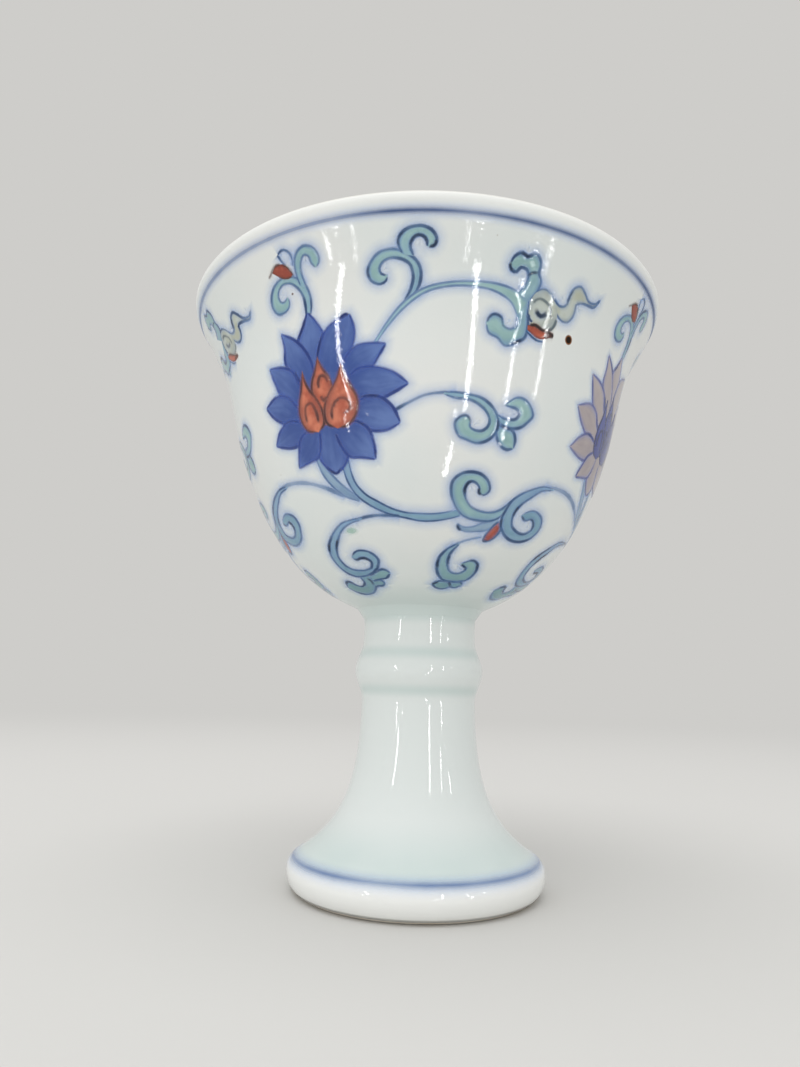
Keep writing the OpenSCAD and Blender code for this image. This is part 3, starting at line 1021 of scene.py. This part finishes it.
def paint_lower_left_leaf():
    """The large leaf that curls round to the left under the vine, and the small leaves under it."""
    painting.line(
        "scroll_lines",
        [(-7, 35.4), (-11.8, 35.3), (-16.3, 35.3), (-20.7, 35.5), (-24.3, 35.8)],
        layer=1,
        width=1.5,
    )
    painting.leaf(
        "scroll_leaves",
        [(-32.4, 43.6), (-31.9, 44.7), (-34.1, 45.3), (-37.3, 45.4), (-39.5, 45), (-41.3, 44.4),
         (-43.5, 44.3), (-46.2, 44.9), (-47.3, 45.4)],
        [(-26, 43.7), (-25.7, 45.2), (-27.4, 46), (-31, 46.8), (-35.5, 47.1), (-40.4, 47), (-44.9, 46.3),
         (-47.3, 45.4)],
        layer=1,
    )
    painting.leaf(
        "scroll_leaves",
        [(-26.5, 44.5), (-23, 44.3), (-21, 44.5), (-19.7, 45.1)],
        [(-26.5, 45.6), (-24.5, 45.5), (-22, 45.5), (-19.7, 45.1)],
        layer=2,
    )
    painting.leaf(
        "scroll_leaves",
        [(-26, 43.6), (-22, 43), (-19.9, 42.7), (-16.3, 42.8), (-14.9, 43.3)],
        [(-26, 44.6), (-23.5, 44.4), (-20.7, 44.2), (-16.7, 43.9), (-14.9, 43.3)],
        layer=3,
    )
    painting.leaf(
        "blue_leaves",
        [(-20.7, 35.5), (-24.5, 35.6), (-28.8, 35.9), (-32.4, 36.6), (-36.4, 37.7), (-39.9, 39),
         (-41.3, 40.3), (-40.8, 41.6), (-38.6, 42.8), (-35, 43.5), (-29.7, 43.6), (-25.2, 43.3),
         (-21.6, 42.7), (-19.2, 41.9), (-18.4, 41.2), (-19.9, 40.3), (-23, 39.8), (-26.6, 39.7),
         (-29.2, 40.1), (-30.8, 40.6)],
        [(-20.7, 35.7), (-25, 36), (-30.1, 36.9), (-33.2, 38), (-36.4, 39.4), (-37.5, 40.5),
         (-36.6, 41.6), (-34.1, 42.3), (-30.6, 42.6), (-26.1, 42.6), (-23, 42.2), (-22.1, 41.5),
         (-24.3, 40.8), (-27, 40.8), (-28.8, 41), (-30.8, 40.6)],
        layer=4,
    )


def paint_lower_right_leaves():
    """The leaf that curls up at the end of the vine, its bud, and the spiral of the next stem."""
    painting.vine(
        [(27, 35), (24, 35.4), (21.4, 35.8), (18, 36.4), (13.7, 36.4), (12.3, 36.1)],
        [(27, 35.6), (24.8, 36.5), (19.5, 37), (14.7, 37), (12.7, 36.6), (12.3, 36.1)],
        layer=1,
    )
    painting.leaf(
        "scroll_leaves",
        [(29.8, 32.5), (26.7, 33.9), (23.8, 34.4), (19, 34.4), (15.2, 33.8), (13.5, 32.9), (13, 31.8),
         (14.2, 31.1), (16.1, 31.2), (17.4, 31.7), (17.6, 32.4)],
        [(28, 34.3), (27.2, 34.8), (23.8, 35.5), (20, 35.6), (15.6, 35.4), (13.2, 35), (10.3, 33.8),
         (8.9, 32.5), (8.9, 31.3), (10.8, 30.4), (14.7, 30), (18, 30.3), (20.4, 31.2), (20.9, 31.9),
         (19.5, 32.5), (17.6, 32.4)],
        layer=2,
    )
    painting.leaf(
        "red_buds",
        [(27.5, 35.4), (29.2, 36.2), (28.4, 37.2), (26.3, 38), (23.3, 38.1)],
        [(27.5, 35.4), (26.2, 35.8), (24.8, 36.6), (23.8, 37.3), (23.3, 38.1)],
        layer=3,
    )
    painting.leaf(
        "blue_leaves",
        [(45, 30.3), (39.7, 30.4), (36.3, 30.9), (32.5, 31.7), (29.8, 32.6), (28.4, 33.9), (27.9, 34.9),
         (28.6, 35.9), (30.5, 36.7), (33.9, 37.4), (38.2, 37.6), (42.1, 37.3), (45.2, 36.6), (46.8, 35.3),
         (45.4, 34.2), (42.6, 33.6), (39.7, 33.4), (36.8, 33.8), (35.3, 34.3)],
        [(45, 30.5), (40.2, 30.9), (36.8, 31.9), (33.9, 32.9), (32.5, 33.7), (32, 34.6), (32.9, 35.6),
         (35.3, 36.2), (38.2, 36.5), (41.1, 36.3), (42.8, 35.6), (42.1, 34.9), (40.2, 34.5), (37.7, 34.8),
         (35.3, 34.3)],
        layer=4,
    )


def paint_foot_leaf():
    """The small curled leaf low on the bowl, and the faint stem that it hangs from."""
    painting.line("vine_lines", [(10, 39.8), (13.5, 38.8), (18, 38.1), (23, 37.6)], layer=0, width=1.2)
    painting.leaf(
        "scroll_leaves",
        [(17.1, 44.9), (13, 44.5), (9.5, 44.6), (6.3, 45.2)],
        [(17.1, 45.5), (13.2, 46), (9.5, 45.8), (6.3, 45.2)],
        layer=1,
    )
    painting.leaf(
        "scroll_leaves",
        [(16.5, 44.6), (20, 44.6), (22.8, 44.7), (23.4, 45.1)],
        [(16.5, 45.4), (18.5, 45.6), (20.4, 45.6), (23.4, 45.1)],
        layer=2,
    )
    painting.leaf(
        "scroll_leaves",
        [(15, 38.6), (9.9, 39.7), (7.7, 40.8), (7.2, 42.1), (8.4, 43.3), (11.3, 44.2), (15.6, 44.5),
         (20.9, 44.4), (25.2, 43.8), (26.7, 42.6), (25.7, 41.4), (22.9, 40.9), (20, 41.2), (17.8, 41.6)],
        [(15, 38.7), (12, 40.2), (11.8, 41.6), (13.2, 42.6), (16.1, 43.1), (19.5, 42.9), (21.2, 42.3),
         (19.6, 41.9), (17.8, 41.6)],
        layer=3,
    )


# Short strokes where the cobalt heaped at the turns and joins of the scroll
HEAPED_STROKES = (
    [(-3.3, 6.8), (-3, 5.8), (-1.8, 5.2), (-0.4, 5.4), (0.2, 6.4)],
    [(-5.3, 6.5), (-5.7, 5.8), (-5.1, 5.1), (-4, 4.7)],
    [(2.1, 5.5), (1.7, 6.2), (0.4, 6.4)],
    [(-12, 7.9), (-12.5, 8.7), (-12, 9.4)],
    [(8.2, 25.2), (8.5, 24.5), (9.8, 24), (11.2, 23.9), (12.1, 24.4), (12.4, 25.1)],
    [(19.4, 23.8), (19.8, 24.5), (19.6, 25.4)],
    [(20, 24.5), (21.8, 24.7), (24, 24.9)],
    [(13.3, 32.8), (13, 31.9), (14, 31.2), (15.4, 31.1)],
    [(17.3, 31.6), (17.6, 32.3), (18.8, 32.5)],
    [(12.4, 36.1), (13, 36.7), (14.4, 37)],
    [(27.9, 34.8), (28.2, 35.6), (29, 36.3)],
    [(23.2, 38), (24.3, 38.1), (25.7, 38)],
    [(31.9, 34.8), (32.2, 33.9), (33.2, 33.1)],
    [(35.4, 34.2), (36.5, 34.6), (37.8, 34.8)],
    [(39.2, 34.4), (41.2, 34.6), (42.7, 35.4), (41.9, 36.1)],
    [(-40.8, 39.6), (-39.6, 38.9), (-38, 38.2)],
    [(-36.8, 39.6), (-35, 38.6), (-32.8, 37.8)],
    [(-30.8, 40.5), (-29, 41), (-26.5, 40.8), (-24, 40.9), (-22.2, 41.5)],
    [(-28.6, 43.8), (-27.2, 44.5), (-26.8, 45.4)],
    [(-46.5, 45), (-44.2, 44.4), (-41.5, 44.4), (-39.5, 45)],
    [(7.6, 40.7), (7.3, 41.6), (7.6, 42.5)],
    [(12, 40.2), (11.7, 41), (12, 41.9)],
    [(17.8, 41.6), (19.3, 41.8), (21, 42.2)],
    [(20.5, 41.1), (23, 40.9), (25.6, 41.4), (26.6, 42.4)],
    [(15, 44.6), (16, 44.9), (17.2, 45.4)],
    [(6.4, 45.2), (8, 44.9), (9.8, 44.7)],
)

for number, repeat in enumerate(REPEATS):
    painting.repeat = repeat
    if number % 2 == 0:
        paint_lotus("blue_petals", "lotus_lines", "red_hearts", "heart_whorls")
    else:
        paint_lotus("violet_petals", "violet_lines", "blue_hearts", "blue_whorls")
    paint_top_spray()
    paint_upper_vine()
    painting.tilt = CLOUD_TILTS[number]
    paint_cloud()
    painting.tilt = 0
    paint_middle_tendril()
    paint_lower_vine()
    paint_lower_left_leaf()
    paint_lower_right_leaves()
    paint_foot_leaf()
    for stroke in HEAPED_STROKES:
        painting.line("heaped_lines", stroke, HEAP_LAYER, HEAP_W)
    paint_joining_vine(number)

# Two spots of iron and a smear of spilt green, on the front only: the degrees and depth of the middle, the
# width in degrees and the height in millimetres
painting.repeat = REPEATS[0]
for spot, degrees, down, width, height in (
    ("iron_spots", 37, 13.4, 2.7, 1.3),
    ("iron_spots", -31.5, 9.2, 0.6, 0.25),
    ("green_smear", -26, 37, 7, 1.3),
):
    left, right = degrees - width / 2, degrees + width / 2
    top, bottom = down - height / 2, down + height / 2
    painting.fill(spot, [(left, bottom), (left, top)], [(right, bottom), (right, top)], layer=1)

# The lines round the lip and the foot lie where their solids do
for ring, node, width in (("rim_line_paint", "rim_line", RIM_W), ("foot_line_paint", "foot_line", FOOT_W)):
    low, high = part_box(node)
    painting.ring(ring, chart.down_at((low.z + high.z) / 2), width)

# The paints, and the pieces that carry them
cobalt_line = line_finish("cobalt_line", shade(66, 100, 142), shade(40, 68, 106), shade(118, 152, 208))
vine_line = line_finish("vine_line", shade(112, 138, 172), shade(88, 116, 154), shade(140, 168, 214))
heaped_line = line_finish(
    "heaped_cobalt", shade(30, 60, 96), shade(18, 42, 70), shade(84, 118, 172), reach=0.5, fade=0.3
)
petal_line = line_finish("petal_line", shade(46, 70, 144), shade(32, 54, 120), shade(84, 110, 190))
petal_heap = line_finish(
    "petal_heap", shade(34, 56, 124), shade(24, 42, 98), shade(74, 100, 172), reach=0.5, fade=0.3
)
violet_line = line_finish(
    "violet_line", shade(76, 86, 146), shade(54, 64, 122), shade(130, 138, 196), reach=0.5
)
heart_line = line_finish(
    "heart_line", shade(102, 58, 54), shade(70, 42, 44), shade(146, 86, 74), reach=0.5, soak=0.6, fade=0.1
)
heart_blue_line = line_finish("heart_blue_line", shade(36, 48, 100), shade(26, 36, 80), shade(60, 74, 130))
iron_line = line_finish(
    "iron_line", shade(72, 40, 36), shade(44, 28, 28), shade(130, 78, 64), reach=0.5, fade=0.1
)
olive_line = line_finish(
    "olive_line", shade(88, 104, 110), shade(62, 80, 92), shade(144, 154, 150), fade=0.15
)
rim_ring = ring_finish(
    "rim_ring", shade(82, 112, 164), shade(46, 76, 128), shade(104, 142, 212), sharp=2.2, lean=3
)
foot_ring = ring_finish(
    "foot_ring", shade(126, 148, 184), shade(104, 126, 166), shade(144, 170, 212), sharp=2, lean=-9
)
blue_petal = petal_finish(
    "blue_petal", shade(56, 82, 148), shade(94, 120, 178), shade(44, 70, 142), rim_share=0.55
)
blue_heart = petal_finish(
    "blue_heart", shade(52, 62, 130), shade(78, 90, 158), shade(44, 54, 116), rim_share=0.6
)
violet_petal = petal_finish(
    "violet_petal", shade(160, 150, 154), shade(182, 172, 170), shade(142, 144, 174), rim_share=0.7
)
red_heart = enamel_finish("red_heart", shade(176, 90, 68), shade(208, 124, 96), shade(134, 76, 68))
red_bud = enamel_finish("red_bud", shade(148, 66, 50), shade(182, 92, 68), shade(112, 52, 44))
yellow_ribbon = enamel_finish(
    "yellow_ribbon", shade(178, 183, 166), shade(191, 199, 192), shade(156, 169, 174)
)
blue_wash = enamel_finish("blue_wash", shade(126, 154, 182), shade(144, 170, 193), shade(106, 136, 173))
green_leaf = leaf_finish(
    "green_leaf",
    root=shade(129, 164, 180),
    root_thin=shade(145, 180, 191),
    tip=shade(138, 174, 174),
    tip_thin=shade(154, 188, 186),
    edge=shade(108, 142, 180),
    low_share=0.6,
)
blue_leaf = leaf_finish(
    "blue_leaf",
    root=shade(126, 157, 188),
    root_thin=shade(144, 174, 200),
    tip=shade(112, 151, 173),
    tip_thin=shade(130, 166, 186),
    edge=shade(96, 128, 174),
    low_share=0.1,
)
iron_spot = spot_finish("iron_spot", shade(36, 22, 12), shade(140, 84, 40), solid=0.7, strength=1)
green_smear = spot_finish(
    "green_smear", shade(150, 184, 170), shade(170, 200, 188), solid=0.2, strength=0.8
)
painted = (
    ("blue_petals", blue_petal, "cobalt"),
    ("violet_petals", violet_petal, "violet_enamel"),
    ("red_hearts", red_heart, "red_enamel"),
    ("blue_hearts", blue_heart, "cobalt"),
    ("red_buds", red_bud, "red_enamel"),
    ("yellow_ribbons", yellow_ribbon, "yellow_enamel"),
    ("scroll_leaves", green_leaf, "green_enamel"),
    ("blue_leaves", blue_leaf, "green_enamel"),
    ("vine_washes", blue_wash, "cobalt"),
    ("heart_whorls", heart_line, "red_enamel"),
    ("blue_whorls", heart_blue_line, "cobalt"),
    ("lotus_lines", petal_line, "cobalt"),
    ("violet_lines", violet_line, "cobalt"),
    ("petal_heaps", petal_heap, "cobalt"),
    ("scroll_lines", cobalt_line, "cobalt"),
    ("vine_lines", vine_line, "cobalt"),
    ("heaped_lines", heaped_line, "cobalt"),
    ("iron_lines", iron_line, "red_enamel"),
    ("olive_lines", olive_line, "yellow_enamel"),
    ("cobalt_bleed", bleed_finish(), "cobalt"),
    ("iron_spots", iron_spot, "red_enamel"),
    ("green_smear", green_smear, "green_enamel"),
    ("rim_line_paint", rim_ring, "cobalt"),
    ("foot_line_paint", foot_ring, "cobalt"),
)
layers = {name: painting.finish(name, material, slot) for name, material, slot in painted}
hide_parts("rim_line")
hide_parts("foot_line")

# The coat of glaze from the foot band over the lip to the bowl's floor
glaze = glaze_finish()
coat = make_piece("glaze_coat", turned(clay_face[::-1] + outside + inside[1:]), glaze, "glaze")
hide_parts("outer_glaze", "bowl_lining_glaze")
clay = clay_finish()
for node, material in (
    ("bowl_body", clay), ("stem_body", clay), ("luting_slip", clay), ("stem_lining_glaze", glaze)
):
    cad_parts[node].data.materials.clear()
    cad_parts[node].data.materials.append(material)


# The stage: the paper's colour, how far the floor reaches and where it starts and ends to fade into the
# background, and the place that the lamps face
PAPER = shade(206, 205, 202)
FLOOR_R = 3.0
FLOOR_FADE = (0.15, 0.7)
LAMP_AIM = Vector((0, 0, 0.045))

# The narrow lamps that the glaze mirrors as glints: how bright they are, and of each one its two ends, as
# degrees round the cup, distance from its axis and height, and its width
GLINT = 25
STRIPS = {
    "strip_right": ((21.6, 0.15, 0.0205), (22.6, 0.15, 0.08), 0.004),
    "strip_right_top": ((16.4, 0.15, 0.0184), (17.6, 0.15, 0.0158), 0.0016),
    "strip_low": ((16.2, 0.108, 0.0091), (13.4, 0.077, 0.004), 0.003),
    "strip_far_right": ((43, 0.15, 0.034), (43, 0.15, 0.074), 0.0025),
    "strip_stem": ((44.5, 0.15, 0.001), (46.5, 0.15, 0.027), 0.0022),
    "strip_side": ((58, 0.15, 0.046), (59, 0.15, 0.07), 0.0019),
    "strip_side_top": ((51, 0.15, 0.0302), (53, 0.15, 0.0322), 0.0011),
    "strip_left": ((-36.2, 0.15, 0.0255), (-41.8, 0.15, 0.066), 0.0034),
    "strip_stem_left": ((-41.4, 0.15, 0.01), (-41.4, 0.15, 0.026), 0.0022),
    "strip_left_top": ((-29.4, 0.15, 0.0204), (-30.4, 0.15, 0.0214), 0.0012),
}


def pale_floor():
    """A pale floor that keeps the shadow near the cup and fades into the background far away."""
    mesh = bmesh.new()
    bmesh.ops.create_circle(mesh, cap_ends=True, segments=96, radius=FLOOR_R)
    data = bpy.data.meshes.new("floor")
    mesh.to_mesh(data)
    mesh.free()
    floor = bpy.data.objects.new("floor", data)
    bpy.context.scene.collection.objects.link(floor)
    paper = Finish("paper", Base_Color=PAPER, Roughness=0.9, Specular_IOR_Level=0)
    away = paper.node("ShaderNodeVectorMath", {"operation": "LENGTH"}, {0: paper.place()}, output="Value")
    glow = paper.node("ShaderNodeEmission", None, {"Color": PAPER, "Strength": 1})
    near = Value(paper, paper.shader.outputs[0])
    far = paper.ease(away, *FLOOR_FADE) * paper.seen()
    both = paper.node("ShaderNodeMixShader", None, {0: far, 1: near, 2: glow})
    paper.feed(paper.tree.nodes["Material Output"].inputs["Surface"], both)
    data.materials.append(paper.material)


def room_light(strength):
    """Even light from all round, and the same pale background behind the cup."""
    world = bpy.data.worlds.new("studio")
    bpy.context.scene.world = world
    world.use_nodes = True
    nodes = Nodes(world.node_tree)
    soft = nodes.node("ShaderNodeBackground", None, {"Color": (1, 1, 1, 1), "Strength": strength})
    paper = nodes.node("ShaderNodeBackground", None, {"Color": PAPER, "Strength": 1})
    both = nodes.node("ShaderNodeMixShader", None, {0: nodes.seen(), 1: soft, 2: paper})
    nodes.feed(world.node_tree.nodes["World Output"].inputs["Surface"], both)


def around(azimuth, distance, height):
    """A place by degrees round the cup from its front, distance from its axis and height."""
    turn = math.radians(azimuth)
    return Vector((distance * math.sin(turn), -distance * math.cos(turn), height))


def lamp(name, first, second, width, radiance, mirrored=True, lights=True):
    """A rectangular lamp between the middles of its two ends, facing the cup.

    It may be left out of what gloss mirrors, or out of what lights the surfaces.
    """
    light = bpy.data.lights.new(name, "AREA")
    light.shape = "RECTANGLE"
    light.size = width
    light.size_y = (second - first).length
    light.energy = radiance * math.pi * light.size * light.size_y
    middle = (first + second) / 2
    along = (second - first).normalized()
    side = along.cross(middle - LAMP_AIM).normalized()
    turn = Matrix((side, along, side.cross(along))).transposed()
    made = bpy.data.objects.new(name, light)
    made.matrix_world = Matrix.Translation(middle) @ turn.to_4x4()
    made.visible_camera = False
    made.visible_glossy = mirrored
    made.visible_diffuse = lights
    bpy.context.scene.collection.objects.link(made)


pale_floor()
room_light(strength=0.92)
lamp("overhead", around(160, 0.05, 0.7), around(-20, 0.5, 0.7), width=0.5, radiance=1.85, mirrored=False)
lamp("front_fill", around(-20, 0.6, 0.02), around(-20, 0.6, 0.3), width=0.7, radiance=1, mirrored=False)
for name, (first, second, width) in STRIPS.items():
    lamp(name, around(*first), around(*second), width, GLINT, lights=False)

camera = bpy.data.objects.new("camera", bpy.data.cameras.new("camera"))
camera.data.sensor_width = SENSOR_W
camera.data.lens = FOCAL_PIXELS / PHOTO_H * SENSOR_W
camera.data.clip_start = 0.005
look = (
    Matrix.Rotation(CAMERA_YAW, 4, "Z")
    @ Matrix.Rotation(CAMERA_PITCH, 4, "X")
    @ Matrix.Rotation(CAMERA_ROLL, 4, "Y")
    @ Matrix.Rotation(math.radians(90), 4, "X")
)
camera.matrix_world = Matrix.Translation(CAMERA_PLACE) @ look
bpy.context.scene.collection.objects.link(camera)
bpy.context.scene.camera = camera
bpy.context.scene.view_settings.view_transform = "Standard"
